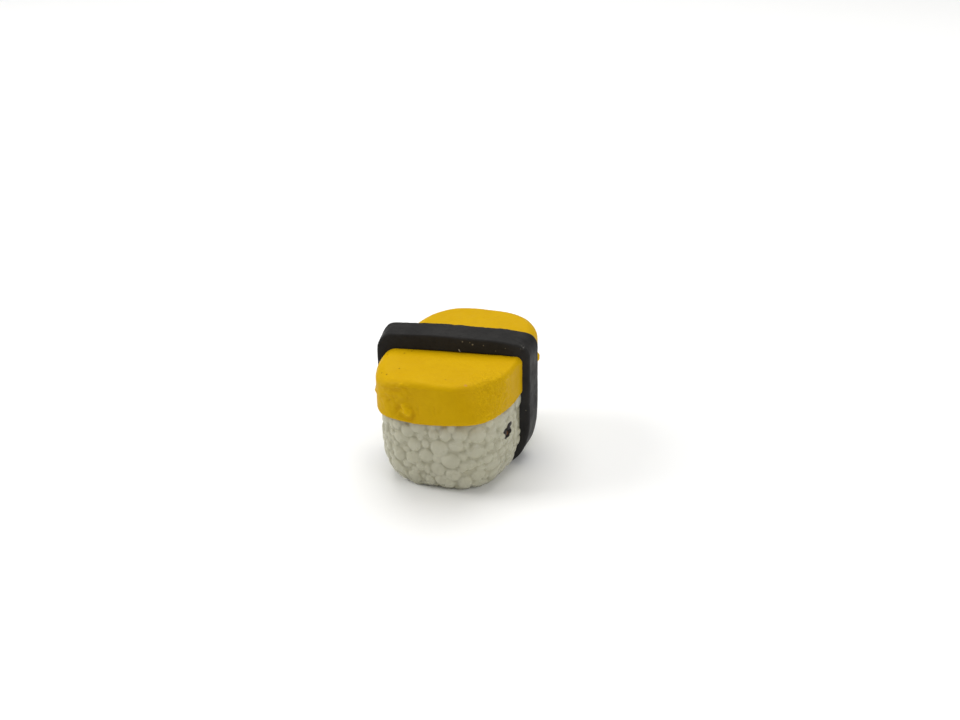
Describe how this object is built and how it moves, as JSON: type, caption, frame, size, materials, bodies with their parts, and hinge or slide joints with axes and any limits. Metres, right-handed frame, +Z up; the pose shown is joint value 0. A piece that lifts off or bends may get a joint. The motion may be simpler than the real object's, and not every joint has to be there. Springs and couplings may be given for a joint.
{
  "type": "toy egg sushi",
  "caption": "Miniature play-food egg sushi: a moulded rice loaf under a thick painted egg slab, held by a chunky seaweed band.",
  "frame": {"origin": "on the resting plane, under the middle of the bounding box", "axes": "+Z up from the resting plane, +Y along the slab towards its back end, +X to the right seen from the front end"},
  "size_m": [0.0218, 0.0276, 0.0195],
  "materials": {
    "egg": "matt yellow paint with faint brush marks and pits",
    "rice": "semi-gloss greyish white, moulded in low round grains",
    "seaweed": "satin charcoal black paint with dust specks"
  },
  "bodies": {
    "root": {"egg_slab": "egg", "rice_loaf": "rice", "seaweed_band": "seaweed"}
  },
  "joints": []
}
